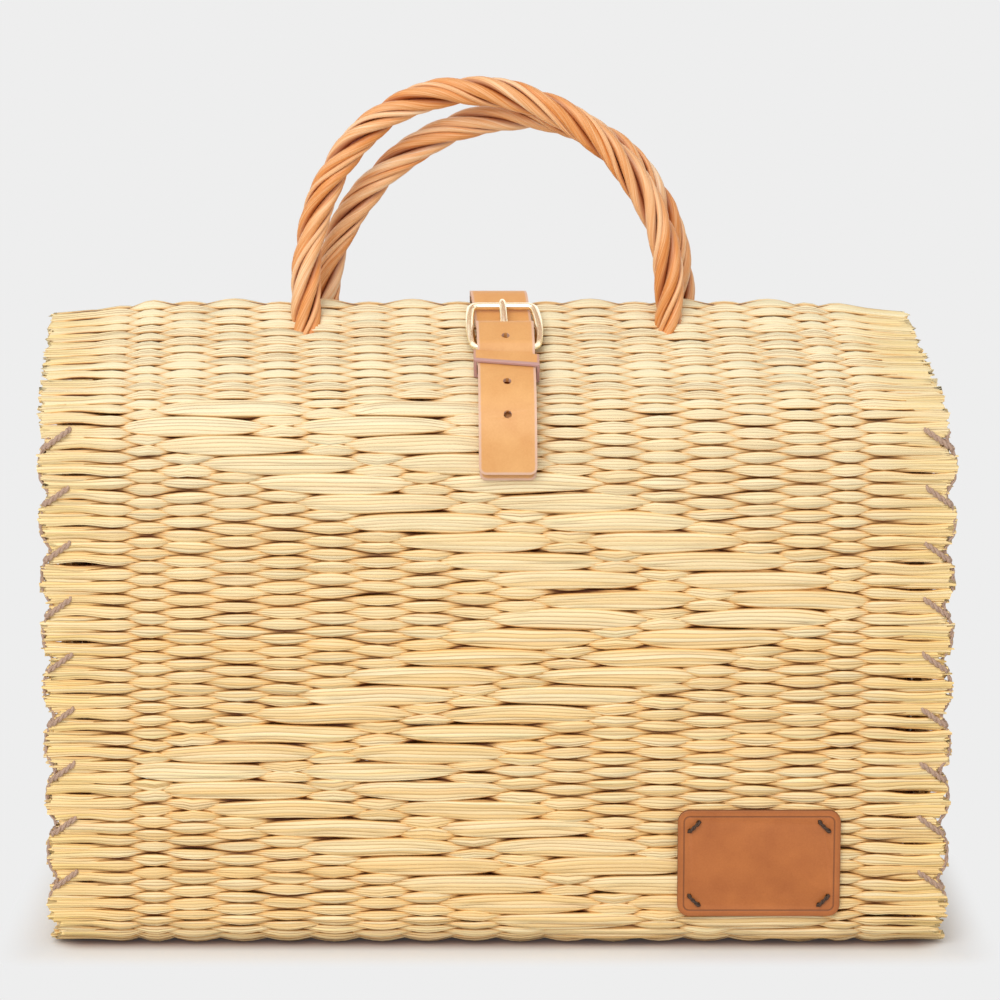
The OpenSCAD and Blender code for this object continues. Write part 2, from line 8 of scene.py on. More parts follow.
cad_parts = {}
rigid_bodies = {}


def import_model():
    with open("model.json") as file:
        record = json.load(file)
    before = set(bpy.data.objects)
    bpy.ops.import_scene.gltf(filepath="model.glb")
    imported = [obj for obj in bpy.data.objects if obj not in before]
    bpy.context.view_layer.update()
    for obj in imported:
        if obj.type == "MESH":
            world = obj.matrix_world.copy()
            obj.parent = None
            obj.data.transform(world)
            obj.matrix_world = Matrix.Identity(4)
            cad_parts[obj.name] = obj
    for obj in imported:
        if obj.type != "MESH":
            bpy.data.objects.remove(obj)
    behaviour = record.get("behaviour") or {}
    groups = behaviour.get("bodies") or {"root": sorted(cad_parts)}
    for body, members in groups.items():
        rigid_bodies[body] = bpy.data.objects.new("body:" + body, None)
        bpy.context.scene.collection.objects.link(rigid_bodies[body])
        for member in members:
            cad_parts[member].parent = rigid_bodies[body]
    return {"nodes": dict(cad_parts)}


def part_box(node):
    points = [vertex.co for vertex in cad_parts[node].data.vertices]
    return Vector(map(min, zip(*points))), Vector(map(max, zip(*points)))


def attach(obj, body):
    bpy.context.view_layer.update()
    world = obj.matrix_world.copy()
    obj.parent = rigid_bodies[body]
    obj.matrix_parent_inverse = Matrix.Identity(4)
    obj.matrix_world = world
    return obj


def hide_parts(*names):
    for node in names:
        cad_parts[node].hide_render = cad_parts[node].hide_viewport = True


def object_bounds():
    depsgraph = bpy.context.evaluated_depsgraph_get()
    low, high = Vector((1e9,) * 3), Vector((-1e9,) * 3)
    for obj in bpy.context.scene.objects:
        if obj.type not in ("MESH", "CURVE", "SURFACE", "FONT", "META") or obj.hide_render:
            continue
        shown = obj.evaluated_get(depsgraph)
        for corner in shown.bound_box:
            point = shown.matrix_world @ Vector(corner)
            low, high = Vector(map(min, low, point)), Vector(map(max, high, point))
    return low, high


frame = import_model()
cadBox = [list(corner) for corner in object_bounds()]
print("frame loaded")


def srgb(red, green, blue):
    steps = [c / 255 for c in (red, green, blue)]
    return tuple(c / 12.92 if c <= 0.04045 else ((c + 0.055) / 1.055) ** 2.4 for c in steps) + (1,)


# a socket that takes part in Python arithmetic
class Val:
    def __init__(self, graph, socket):
        self.graph = graph
        self.socket = socket

    def __add__(self, other):
        return self.graph.math("ADD", self, other)

    def __radd__(self, other):
        return self.graph.math("ADD", other, self)

    def __sub__(self, other):
        return self.graph.math("SUBTRACT", self, other)

    def __rsub__(self, other):
        return self.graph.math("SUBTRACT", other, self)

    def __mul__(self, other):
        return self.graph.math("MULTIPLY", self, other)

    def __rmul__(self, other):
        return self.graph.math("MULTIPLY", other, self)

    def __truediv__(self, other):
        return self.graph.math("DIVIDE", self, other)

    def __rtruediv__(self, other):
        return self.graph.math("DIVIDE", other, self)

    def __pow__(self, other):
        return self.graph.math("POWER", self, other)

    def __mod__(self, other):
        return self.graph.math("FLOORED_MODULO", self, other)

    def __abs__(self):
        return self.graph.math("ABSOLUTE", self)

    def __gt__(self, other):
        return self.graph.math("GREATER_THAN", self, other)

    def __lt__(self, other):
        return self.graph.math("LESS_THAN", self, other)


# a node tree that nodes are added to
class Graph:
    def __init__(self, tree):
        self.tree = tree

    def feed(self, socket, value):
        value = value.socket if isinstance(value, Val) else value
        if isinstance(value, bpy.types.NodeSocket):
            self.tree.links.new(value, socket)
        else:
            socket.default_value = value

    # any node: its type, its settings, then the values or links of its sockets
    def add(self, kind, settings=None, inputs=None):
        node = self.tree.nodes.new(kind)
        for key, value in (settings or {}).items():
            if key == "stops":
                ramp = node.color_ramp.elements
                while len(ramp) < len(value):
                    ramp.new(0.5)
                for stop, (place, color) in zip(ramp, value):
                    stop.position, stop.color = place, color
            else:
                setattr(node, key, value)
        for key, value in (inputs or {}).items():
            self.feed(node.inputs[key], value)
        return node

    def out(self, kind, settings=None, inputs=None, pick=0):
        return Val(self, self.add(kind, settings, inputs).outputs[pick])

    def math(self, operation, *values):
        return self.out("ShaderNodeMath", {"operation": operation}, dict(enumerate(values)))

    def sin(self, angle):
        return self.math("SINE", angle)

    def cos(self, angle):
        return self.math("COSINE", angle)

    def clamp(self, value, low, high):
        return self.math("MINIMUM", self.math("MAXIMUM", value, low), high)

    def mix(self, a, b, share):
        return a + (b - a) * share

    def smooth(self, value, low, high):
        return self.out("ShaderNodeMapRange", {"interpolation_type": "SMOOTHSTEP"},
                        {0: value, 1: low, 2: high, 3: 0.0, 4: 1.0})

    def xyz(self, x, y, z):
        return self.out("ShaderNodeCombineXYZ", None, {0: x, 1: y, 2: z})

    def split(self, vector):
        return [Val(self, part) for part in self.add("ShaderNodeSeparateXYZ", None, {0: vector}).outputs]

    def noise(self, x, y, z, detail=0.0):
        return self.out("ShaderNodeTexNoise", None,
                        {"Vector": self.xyz(x, y, z), "Scale": 1.0, "Detail": detail})

    def chance(self, x, y, z):
        return self.out("ShaderNodeTexWhiteNoise", {"noise_dimensions": "3D"},
                        {"Vector": self.xyz(x, y, z)})


def addObject(name, data):
    thing = bpy.data.objects.new(name, data)
    bpy.context.scene.collection.objects.link(thing)
    return thing


def dress(mesh, material):
    mesh.materials.clear()
    mesh.materials.append(material)


# a piece moves with its body and stands for a CAD node
def settle(piece, body, node):
    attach(piece, body)
    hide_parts(node)


# a geometry tree with named inputs, and the plain mesh that it makes
class Maker:
    def __init__(self, name, sizes):
        self.tree = bpy.data.node_groups.new(name, "GeometryNodeTree")
        self.graph = Graph(self.tree)
        face = self.tree.interface
        face.new_socket("Geometry", in_out="OUTPUT", socket_type="NodeSocketGeometry")
        self.ids = {}
        for label, value in sizes.items():
            socket = face.new_socket(label, in_out="INPUT", socket_type="NodeSocketFloat")
            socket.default_value = value
            self.ids[label] = socket.identifier
        source = self.graph.add("NodeGroupInput")
        self.size = {label: Val(self.graph, source.outputs[label]) for label in sizes}

    def store(self, geometry, name, value, kind="FLOAT"):
        return self.graph.out("GeometryNodeStoreNamedAttribute", {"data_type": kind, "domain": "POINT"},
                              {"Geometry": geometry, "Name": name, "Value": value})

    def read(self, name):
        return self.graph.out("GeometryNodeInputNamedAttribute", {"data_type": "FLOAT"}, {"Name": name})

    def line(self, end):
        return self.graph.out("GeometryNodeCurvePrimitiveLine", None, {"Start": (0, 0, 0), "End": end})

    # a curve in equal steps, each point with its place along it
    def stepped(self, curve, count, measure="Factor"):
        curve = self.graph.out("GeometryNodeResampleCurve", None, {"Curve": curve, "Count": count})
        return self.store(curve, "along", self.graph.out("GeometryNodeSplineParameter", pick=measure))

    # copies of a curve, each with its number
    def copies(self, curve, amount, label):
        made = self.graph.add("GeometryNodeDuplicateElements", {"domain": "SPLINE"},
                              {"Geometry": curve, "Amount": amount})
        return self.store(made.outputs[0], label, made.outputs[1])

    # tubes round curves, each point with its place round its ring
    def tubes(self, curves, sides, radius=1.0, caps=True):
        ring = self.graph.out("GeometryNodeCurvePrimitiveCircle", None,
                              {"Resolution": sides, "Radius": radius})
        ring = self.store(ring, "ring", self.graph.out("GeometryNodeInputIndex"))
        return self.graph.out("GeometryNodeCurveToMesh", None,
                              {"Curve": curves, "Profile Curve": ring, "Fill Caps": caps})

    def place(self, geometry, x, y, z):
        return self.graph.out("GeometryNodeSetPosition", None,
                              {"Geometry": geometry, "Position": self.graph.xyz(x, y, z)})

    def finish(self, geometry, material):
        smooth = self.graph.out("GeometryNodeSetShadeSmooth", None, {0: geometry})
        real = self.graph.out("GeometryNodeRealizeInstances", None, {"Geometry": smooth})
        done = self.graph.out("GeometryNodeSetMaterial", None, {"Geometry": real, "Material": material})
        last = self.graph.add("NodeGroupOutput")
        self.graph.feed(last.inputs[0], done)

    def piece(self, name, values):
        thing = addObject(name, bpy.data.meshes.new(name + "Start"))
        modifier = thing.modifiers.new("make", "NODES")
        modifier.node_group = self.tree
        for label, value in values.items():
            modifier[self.ids[label]] = float(value)
        graph = bpy.context.evaluated_depsgraph_get()
        mesh = bpy.data.meshes.new_from_object(thing.evaluated_get(graph), depsgraph=graph)
        thing.modifiers.remove(modifier)
        thing.data = mesh
        made = [material for material in mesh.materials if material][-1]
        dress(mesh, made)
        mesh.polygons.foreach_set("material_index", [0] * len(mesh.polygons))
        for label in ("along", "ring", "pick", "rod", "ply"):  # only the tree reads these
            if label in mesh.attributes:
                mesh.attributes.remove(mesh.attributes[label])
        faceOut(mesh)
        return thing


def faceOut(mesh):
    work = bmesh.new()
    work.from_mesh(mesh)
    bmesh.ops.recalc_face_normals(work, faces=work.faces)
    for face in work.faces:
        face.smooth = len(face.verts) < 5  # cut ends stay flat
    work.to_mesh(mesh)
    work.free()


def newMaterial(name):
    material = bpy.data.materials.new(name)
    material.use_nodes = True
    graph = Graph(material.node_tree)
    return material, graph, material.node_tree.nodes["Principled BSDF"]


def attribute(graph, name, pick="Fac"):
    return graph.out("ShaderNodeAttribute", {"attribute_name": name}, pick=pick)


def blendColor(graph, share, a, b):
    return graph.out("ShaderNodeMix", {"data_type": "RGBA"}, {0: share, 6: a, 7: b}, pick=2)


# relief is the strength and depth of the bump that height gives
def finishLook(graph, shader, color, rough, relief, height):
    graph.feed(shader.inputs["Base Color"], color)
    graph.feed(shader.inputs["Roughness"], rough)
    bump = graph.out("ShaderNodeBump", None, {"Strength": relief[0], "Distance": relief[1], "Height": height})
    graph.feed(shader.inputs["Normal"], bump)


# the camera has the photo's viewing angle
view = {"target": (0.001, 0.0, 0.1778), "distance": 1.470, "lift": math.radians(10), "lens": 124.7,
        "sensor": 36}
lens = bpy.data.cameras.new("camera")
lens.lens = view["lens"]
lens.sensor_width = view["sensor"]
camera = addObject("camera", lens)
aim = Vector((0, -math.cos(view["lift"]), math.sin(view["lift"])))
camera.location = Vector(view["target"]) + aim * view["distance"]
camera.rotation_euler = (math.pi / 2 - view["lift"], 0, 0)
bpy.context.scene.camera = camera

# plain floor with a painted shadow under the bag's base, and a world that shows as pale grey and lights
# softly
studio = {"pale": 0.855, "worldLight": 0.62, "floorSize": 12.0, "keyPower": 32.2, "keySize": 1.6,
          "keyPlace": (-0.55, -1.85, 1.55), "keyAim": (0, 0, 0.15), "shine": (0.72, 1.3),
          "cameraSide": (0.45, 0.85), "highSide": (0.25, 0.6), "shadowReach": (-0.003, 0.022),
          "paintedShadow": srgb(146, 102, 74), "paintedShadowReach": (0.001, 0.018), "paintedShadowIn": (0.014, 0.016)}
bpy.context.scene.view_settings.view_transform = "Standard"


def seenDirectly(graph):
    path = graph.add("ShaderNodeLightPath")
    rays = [Val(graph, path.outputs[n]) for n in ("Is Camera Ray", "Is Glossy Ray", "Is Transmission Ray")]
    return graph.clamp(rays[0] + rays[1] + rays[2], 0.0, 1.0)


# what shines sees a dark room behind the camera and bright paper all round
def makeWorld():
    world = bpy.data.worlds.new("studioWorld")
    world.use_nodes = True
    bpy.context.scene.world = world
    graph = Graph(world.node_tree)
    shade = world.node_tree.nodes["Background"]
    glossy = graph.out("ShaderNodeLightPath", pick="Is Glossy Ray")
    way = graph.split(graph.out("ShaderNodeTexCoord", pick="Generated"))
    toCamera = graph.smooth(way[1] * -1.0, *studio["cameraSide"])
    low = 1.0 - graph.smooth(way[2], *studio["highSide"])
    shine = graph.mix(studio["shine"][1], studio["shine"][0], toCamera * low)
    light = graph.mix(studio["worldLight"], studio["pale"], seenDirectly(graph))
    graph.feed(shade.inputs["Strength"], graph.mix(light, shine, glossy))
    shade.inputs["Color"].default_value = (1, 1, 1, 1)


# distance over the floor from a box round the middle
def floorReach(graph, coords, half):
    past = [graph.math("MAXIMUM", abs(coords[i]) - half[i], 0.0) for i in (0, 1)]
    return graph.math("SQRT", past[0] * past[0] + past[1] * past[1])


def makeFloor():
    half = studio["floorSize"] / 2
    mesh = bpy.data.meshes.new("floor")
    corners = [(-half, -half, 0), (half, -half, 0), (half, half, 0), (-half, half, 0)]
    mesh.from_pydata(corners, [], [(0, 1, 2, 3)])
    floor = addObject("floor", mesh)
    material, graph, shader = newMaterial("floorPaper")
    shader.inputs["Roughness"].default_value = 0.9
    shader.inputs["Specular IOR Level"].default_value = 0.0
    coords = graph.split(graph.out("ShaderNodeTexCoord", pick="Object"))
    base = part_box("rush_mat")[1]
    # painted shadow: the floor's colour turns brown just under the bag's base
    touching = (base.x - studio["paintedShadowIn"][0], base.y - studio["paintedShadowIn"][1])
    under = graph.smooth(floorReach(graph, coords, touching), *studio["paintedShadowReach"])
    pale = (studio["pale"],) * 3 + (1,)
    graph.feed(shader.inputs["Base Color"], blendColor(graph, under, studio["paintedShadow"], pale))
    plain = graph.smooth(floorReach(graph, coords, cadBox[1]), *studio["shadowReach"]) * seenDirectly(graph)
    glow = graph.out("ShaderNodeEmission", None, {"Color": pale, "Strength": 1.0})
    both = graph.out("ShaderNodeMixShader", None, {0: plain, 1: shader.outputs[0], 2: glow})
    graph.feed(material.node_tree.nodes["Material Output"].inputs["Surface"], both)
    mesh.materials.append(material)


def makeLamp():
    data = bpy.data.lights.new("keyLamp", "AREA")
    data.energy, data.size = studio["keyPower"], studio["keySize"]
    lamp = addObject("keyLamp", data)
    lamp.location = studio["keyPlace"]
    way = Vector(studio["keyAim"]) - Vector(studio["keyPlace"])
    lamp.rotation_euler = way.to_track_quat("-Z", "Y").to_euler()


makeWorld()
makeFloor()
makeLamp()
print("stage ready")

# dry rush: cream stems, peach and yellow casts, painted brown shade where one bundle dives under another,
# painted shade in the grooves between stems, and painted light towards the ridge
rushLook = {
    "stems": ((0.0, srgb(238, 182, 106)), (0.22, srgb(247, 208, 140)), (0.5, srgb(249, 221, 164)),
              (0.72, srgb(252, 232, 186)), (0.86, srgb(252, 231, 160)), (1.0, srgb(255, 242, 212))),
    # each cast has its colour, the range that it comes in over, and its share there
    # painted light: the flap cast pales the rush towards the ridge
    "peach": (srgb(247, 202, 146), (0.5, 0.75), 0.45), "flap": (srgb(252, 244, 210), (14.0, 58.0), 0.6),
    # painted shade: the crease cast darkens each stem towards its edges, where the grooves between stems are
    "ends": (srgb(249, 214, 132), (0.146, 0.178), 0.75), "creaseShade": (srgb(184, 120, 44), (0.68, 1.0), 0.7),
    # painted shade: these two casts darken the rush where deep marks a sunk bundle or a turned edge
    "turnedShade": (srgb(238, 176, 92), (0.1, 0.5), 0.75), "gapShade": (srgb(108, 46, 2), (0.34, 0.8), 0.95),
    "stemCount": 3.0, "moreStems": 1.6, "floatStems": 1.8, "stemSway": 0.9, "relief": (0.5, 0.0005)}


def rushMaterial(name, warm=0.0):
    material, graph, shader = newMaterial(name)
    x, across, pick = graph.split(attribute(graph, "stemCoord", "Vector"))
    count = (rushLook["stemCount"] + graph.chance(pick, 3.0, 7.0) * rushLook["moreStems"]
             + attribute(graph, "spread") * rushLook["floatStems"])
    sway = (graph.noise(x * 30.0, pick * 3.0, 1.0) - 0.5) * rushLook["stemSway"]
    place = (across * 0.5 + 0.5) * count + sway
    stem = graph.math("FLOOR", place)
    across = abs(place - stem - 0.5) * 2.0
    streak = graph.noise(x * 34.0, place * 5.0, pick * 2.0, 3.0)
    patch = graph.noise(x * 14.0, place * 0.8, pick * 3.0, 1.0)
    tone = graph.chance(stem, pick, 5.0) * 0.55 + streak * 0.5 + patch * 0.35 - 0.2 - warm
    color = graph.out("ShaderNodeValToRGB", {"stops": rushLook["stems"]}, {0: graph.clamp(tone, 0.0, 1.0)})
    # deep carries painted shade, laid where a bundle sinks under another and along its edges
    deep = attribute(graph, "deep")
    for cast, value in (("peach", patch), ("flap", pick % weave["sideStep"]), ("ends", abs(x)),
                        ("creaseShade", across), ("turnedShade", deep), ("gapShade", deep)):
        tint, reach, share = rushLook[cast]
        mask = graph.smooth(value, *reach)
        if cast == "flap":
            mask = 1.0 - mask  # painted light: palest at the ridge, where the top faces the light
        if cast == "ends":
            mask = mask * graph.chance(stem, pick, 9.0)
        color = blendColor(graph, mask * share, color, tint)
    height = (1.0 - across * across) * 0.8 + streak * 0.3
    finishLook(graph, shader, color, 0.38 + streak * 0.25, rushLook["relief"], height)
    return material


# the mat's section, as the solids have it
mat = {"halfDepth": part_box("rush_mat")[1].y, "halfWidth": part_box("rush_mat")[1].x,
       "ridgeHeight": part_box("rush_mat")[1].z, "ridgeGap": 0.006, "flapSlope": math.radians(32),
       "shoulderRadius": 0.030, "bottomRadius": 0.016, "wallTop": 0.207, "rowsHalf": 44,
       "picksPerRow": 3, "flapPicks": 34, "wallPicks": 71, "warps": 16, "warpPitch": 0.0193,
       "flapLean": -0.0078, "flapNarrow": 0.031, "droop": 0.0050, "droopFrom": (0.128, 0.192)}
turnShoulder = math.pi / 2 - mat["flapSlope"]
flapLength = (mat["halfDepth"] - mat["shoulderRadius"] * (1 - math.cos(turnShoulder))
              - mat["ridgeGap"] / 2) / math.cos(mat["flapSlope"])
wallStart = flapLength + mat["shoulderRadius"] * turnShoulder
cornerStart = wallStart + mat["wallTop"] - mat["bottomRadius"]
baseStart = cornerStart + mat["bottomRadius"] * math.pi / 2
baseMiddle = baseStart + mat["halfDepth"] - mat["bottomRadius"]
pickPitch = baseMiddle / (mat["rowsHalf"] + 0.5) / mat["picksPerRow"]


# point of the folded mat, s along the outside from a flap's edge and n outwards
def foldedMat(graph, size, u, s, n):
    slope, shoulder, bottom = mat["flapSlope"], mat["shoulderRadius"], mat["bottomRadius"]
    onFlap = graph.math("MINIMUM", s, flapLength)
    bend = graph.clamp((s - flapLength) / shoulder, 0.0, turnShoulder)
    down = graph.clamp(s - wallStart, 0.0, cornerStart - wallStart)
    under = graph.clamp((s - cornerStart) / bottom, 0.0, math.pi / 2)
    along = graph.math("MAXIMUM", s - baseStart, 0.0)
    heading = slope + bend + under
    y = (onFlap * -math.cos(slope) - mat["ridgeGap"] / 2
         - (graph.sin(slope + bend) - math.sin(slope)) * shoulder
         + (1.0 - graph.cos(under)) * bottom + along - graph.sin(heading) * n)
    z = (onFlap * -math.sin(slope) + mat["ridgeHeight"]
         + (graph.cos(slope + bend) - math.cos(slope)) * shoulder
         - down - graph.sin(under) * bottom + graph.cos(heading) * n)
    high = graph.clamp(1.0 - s / wallStart, 0.0, 1.0)
    x = u * (1.0 - high * size["Flap Narrow"]) + high * size["Flap Lean"]
    sag = graph.smooth(abs(u), *mat["droopFrom"]) * high * high * mat["droop"]
    return x, y * size["Side"], z - sag


# the end panels stand inside the folded mat
gusset = {"outer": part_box("gusset_right")[1].x, "top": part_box("gusset_right")[1].z,
          "low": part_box("gusset_right")[0].z, "fit": 0.0063, "warps": 6, "warm": 0.08}


# point of an upright end panel, s down from its top edge
def endPanel(graph, size, u, s, n):
    z = gusset["top"] - s
    lowR = mat["bottomRadius"] - gusset["fit"]
    topR = mat["shoulderRadius"] - gusset["fit"]
    lower = graph.clamp(mat["bottomRadius"] - z, 0.0, lowR)
    upper = graph.math("MAXIMUM", z - mat["wallTop"], 0.0)
    lowHalf = graph.math("SQRT", lowR ** 2 - lower * lower) + (mat["halfDepth"] - mat["bottomRadius"])
    topHalf = graph.math("SQRT", topR ** 2 - upper * upper) + (mat["halfDepth"] - mat["shoulderRadius"])
    half = graph.math("MINIMUM", lowHalf, topHalf)
    return (gusset["outer"] + n) * size["Side"], graph.clamp(u, half * -1.0, half), z


# wide: a bundle's half width in picks, what it gains on top and what it loses below
weave = {"ring": 11, "crests": 8, "steps": 5, "wide": (0.63, 0.31, 0.10), "floatWide": (0.82, 0.74, 0.24),
         "middle": -0.0030, "dive": 0.0015, "half": 0.0014, "floatHalf": 0.0019, "stemBump": 0.00022,
         "floatWarps": 8, "turnStep": 9, "firstStep": 7.4, "lastStep": 36.5, "fray": 0.0045,
         "frayMiddle": 0.62, "pull": 0.0036, "pullFrom": (-0.020, -0.006), "firstStitch": 0.0822,
         "stitchPitch": 0.023, "edgeTight": 0.39, "wander": 0.75, "drawn": 0.25, "stemWander": 0.0006,
         "press": 0.0014, "top": 0.0005, "sunk": (0.0006, 0.0042), "endIn": 0.012, "sideStep": 200.0,
         "seed": 3}


# rush bundles woven over and under the warp cords, one closed tube for each pick
def weaveMaker(name, material, fold, halfWidth, warps):
    steps = int(2 * halfWidth / mat["warpPitch"] * weave["steps"]) + 3
    steps += (steps + warps * weave["steps"]) % 2
    maker = Maker(name, {"First Pick": 0, "Pick Count": 10, "Side": 1, "Pattern": 1, "Edge Pull": 0,
                         "Pick Pitch": pickPitch, "Warp Pitch": mat["warpPitch"], "Half Width": halfWidth,
                         "Flap Lean": mat["flapLean"], "Flap Narrow": mat["flapNarrow"],
                         "Seed": weave["seed"]})
    graph, size = maker.graph, maker.size
    line = maker.stepped(maker.line((1, 0, 0)), steps, "Index")
    tubes = maker.tubes(maker.copies(line, size["Pick Count"], "pick"), weave["ring"])

    pick = maker.read("pick") + size["First Pick"]
    knot = maker.read("ring")
    seed = size["Seed"] + size["Side"] * 5.0
    inner = knot > weave["crests"] + 0.5
    v = graph.mix(knot * (2 / weave["crests"]) - 1.0, (weave["crests"] + 1.5 - knot) * 1.1, inner)
    stem = graph.math("FLOOR", knot / 2.0)
    past = (pick + 0.5) * size["Pick Pitch"] - weave["firstStitch"]
    pulled = (graph.cos(past / weave["stitchPitch"] * (2 * math.pi)) * 0.5 + 0.5) ** 3.0
    pulled = pulled * graph.smooth(past, *weave["pullFrom"]) * size["Edge Pull"]
    ragged = (graph.chance(pick, stem, seed) - weave["frayMiddle"]) * weave["fray"]
    reach = size["Half Width"] + ragged - pulled
    u = graph.clamp((maker.read("along") - (steps - 1) / 2) * size["Warp Pitch"] / weave["steps"],
                    reach * -1.0, reach)

    # over or under: tabby, or every third pick floats over three cords between its pinches
    outer = graph.math("MAXIMUM", abs(u) / size["Warp Pitch"] - (warps - 2) / 2, 0.0)
    warp = u / size["Warp Pitch"] + (warps - 1) / 2 + graph.math("SIGN", u) * outer * weave["edgeTight"]
    held = graph.clamp(warp, -1.0, float(warps))
    tabby = graph.cos((held - pick) * math.pi)
    step = graph.math("FLOOR", pick / mat["picksPerRow"] + 0.01)
    beside = step * mat["picksPerRow"] + 1.0 - pick
    swing = (step - weave["turnStep"]) % (2 * weave["turnStep"])
    first = weave["floatWarps"] - abs(swing - weave["turnStep"])
    third = abs(beside) < 0.5
    inside = (warp > first) * (warp < first + float(weave["floatWarps"]))
    onWall = (step > weave["firstStep"]) * (step < weave["lastStep"])
    woven = (warp > -0.5) * (warp < warps - 0.5)
    band = inside * onWall * woven * size["Pattern"]
    floats = third * band
    span = ((warp - first) % 4.0) * 0.5 - 1.0
    arch = 1.0 - (abs(span) ** 3.0) * 2.0
    loose = graph.smooth(abs(warp - (warps - 1) / 2), warps / 2 + 0.45, warps / 2 + 1.5)
    over = graph.mix(graph.mix(tabby, arch, floats), 0.3, loose * 0.8)
    up, down = graph.clamp(over, 0.0, 1.0), graph.clamp(over * -1.0, 0.0, 1.0)
    pressed = graph.clamp(arch, 0.0, 1.0) * (band - floats)
    drawn = graph.clamp(arch * -1.0, 0.0, 1.0) * beside * band

    # size of the bundle there, and its own wander
    wander = graph.noise(u * 26.0, pick * 3.7, seed) - 0.5
    plain, floating = [base + up * grow - down * shrink
                       for base, grow, shrink in (weave["wide"], weave["floatWide"])]
    swell = graph.mix(plain, floating, floats)
    atEnd = graph.smooth(abs(u), reach - weave["endIn"], reach)
    fat = 1.0 + (graph.noise(u * 20.0, pick * 5.1, seed + 9.0) - 0.5) * (0.48 + loose * 0.3) + atEnd * 0.16
    pair = graph.math("FLOOR", pick / 2.0)
    gather = ((graph.chance(pair, seed, 4.0) - 0.5) * 0.5 - (pick - pair * 2.0 - 0.5) * 0.24) * loose
    gather = gather * (1.0 - atEnd * 0.6)
    halfWide = swell * fat * (1.0 - pressed * 0.35) * size["Pick Pitch"]
    thick = graph.mix(weave["half"], weave["floatHalf"], floats * up)
    crest = (knot % 2.0) * 2.0 - 1.0
    edge = abs(v) > 0.99
    stemWander = graph.noise(u * 34.0, pick * 2.3, stem * 7.7 + seed) - 0.5
    height = graph.mix((1.0 - v * v * 0.92) * thick + crest * (1.0 - edge) * weave["stemBump"] * (0.5 + swell)
                       + stemWander * weave["stemWander"], thick * -0.85, inner)
    middle = weave["middle"] + over * weave["dive"] - pressed * weave["press"]
    s = ((pick + 0.5 + wander * weave["wander"] + drawn * weave["drawn"] + gather) * size["Pick Pitch"]
         + (v + stemWander * 0.3) * halfWide)
    n = graph.math("MINIMUM", middle + height, weave["top"])
    x, y, z = fold(graph, size, u, s, n)
    tubes = maker.place(tubes, x, y, z)

    # what the colours follow; deep is painted shade, strongest where a bundle sinks under another and at its
    # side edges, weaker on its underside and at its cut ends
    sunk = graph.smooth(n * -1.0, *weave["sunk"])
    side = graph.smooth(abs(v), 0.7, 1.0) * (0.3 + loose * 0.25)
    tubes = maker.store(tubes, "spread", floats * up)
    shade = graph.clamp(sunk * 0.9 + side, 0.0, 1.0) * (1.0 - inner * 0.6) * (1.0 - atEnd * 0.6)
    tubes = maker.store(tubes, "deep", shade)
    coord = graph.xyz(u, v, pick + size["Side"] * weave["sideStep"])
    tubes = maker.store(tubes, "stemCoord", coord, "FLOAT_VECTOR")
    maker.finish(tubes, material)
    return maker


def makeMat():
    rush = rushMaterial("rush")
    maker = weaveMaker("weaveMat", rush, foldedMat, mat["halfWidth"], mat["warps"])
    half = int(baseMiddle / pickPitch)
    flapEnd = mat["flapPicks"]
    wallEnd = flapEnd + mat["wallPicks"]
    runs = {"frontFlap": (0, flapEnd, 1), "frontWall": (flapEnd, wallEnd, 1),
            "baseFront": (wallEnd, half + 1, 1), "baseRear": (wallEnd, half, -1),
            "backWall": (flapEnd, wallEnd, -1), "rearFlap": (0, flapEnd, -1)}
    for name, (start, end, side) in runs.items():
        piece = maker.piece(name, {"First Pick": start, "Pick Count": end - start, "Side": side,
                                   "Edge Pull": weave["pull"]})
        settle(piece, "bag", "rush_mat")


def makeGussets():
    rush = rushMaterial("gussetRush", gusset["warm"])
    maker = weaveMaker("weaveGusset", rush, endPanel, mat["halfDepth"] - gusset["fit"], gusset["warps"])
    count = int((gusset["top"] - gusset["low"]) / pickPitch)
    for name, side in (("Left", -1), ("Right", 1)):
        piece = maker.piece("gusset" + name, {"Pick Count": count, "Side": side, "Pattern": 0})
        settle(piece, "bag", "gusset_" + name.lower())


makeMat()
makeGussets()
print("weave made")

# peeled willow rods, four thick and two thin round a core, twisted and bent into an arch
rope = {"span": 0.151, "legIn": 0.030, "legY": 0.0135, "crestY": 0.00655, "thick": 0.0125, "lay": 0.068,
        "thickRods": 4, "thinRods": 2, "sides": 12, "steps": 160,
        "thin": 0.00125, "thinOut": 0.40, "core": 0.0023, "wobble": 0.5, "swell": 0.34,
        "front": {"Rise": 0.094, "Upright": 0.013, "Lean": 0.007, "Seed": 4}, "frontShift": -0.0042,
        "rear": {"Rise": 0.083, "Upright": 0.002, "Lean": 0.008, "Seed": 11}, "rearShift": 0.0022}
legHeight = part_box("handle_front")[0].z + rope["legIn"]
willowLook = {"rods": ((0.0, srgb(190, 94, 22)), (0.35, srgb(224, 142, 68)), (0.7, srgb(246, 194, 142)),
                       (1.0, srgb(255, 232, 200))), "creaseShade": srgb(146, 54, 0), "relief": (0.35, 0.0005)}


def willowMaterial():
    material, graph, shader = newMaterial("willow")
    run, turn, rod = graph.split(attribute(graph, "rodCoord", "Vector"))
    streak = graph.noise(run * 60.0, turn * 5.0, rod * 9.0, 4.0)
    patch = graph.noise(run * 22.0, turn * 0.6, rod * 4.0, 2.0)
    level = graph.clamp(attribute(graph, "tone") * 0.4 + streak * 1.0 + patch * 0.8 - 0.58, 0.0, 1.0)
    color = graph.out("ShaderNodeValToRGB", {"stops": willowLook["rods"]}, {0: level})
    # painted shade: deep lays the crease colour on the rods' inward sides and on the core
    color = blendColor(graph, attribute(graph, "deep"), color, willowLook["creaseShade"])
    finishLook(graph, shader, color, 0.34 + streak * 0.22, willowLook["relief"], streak)
    return material


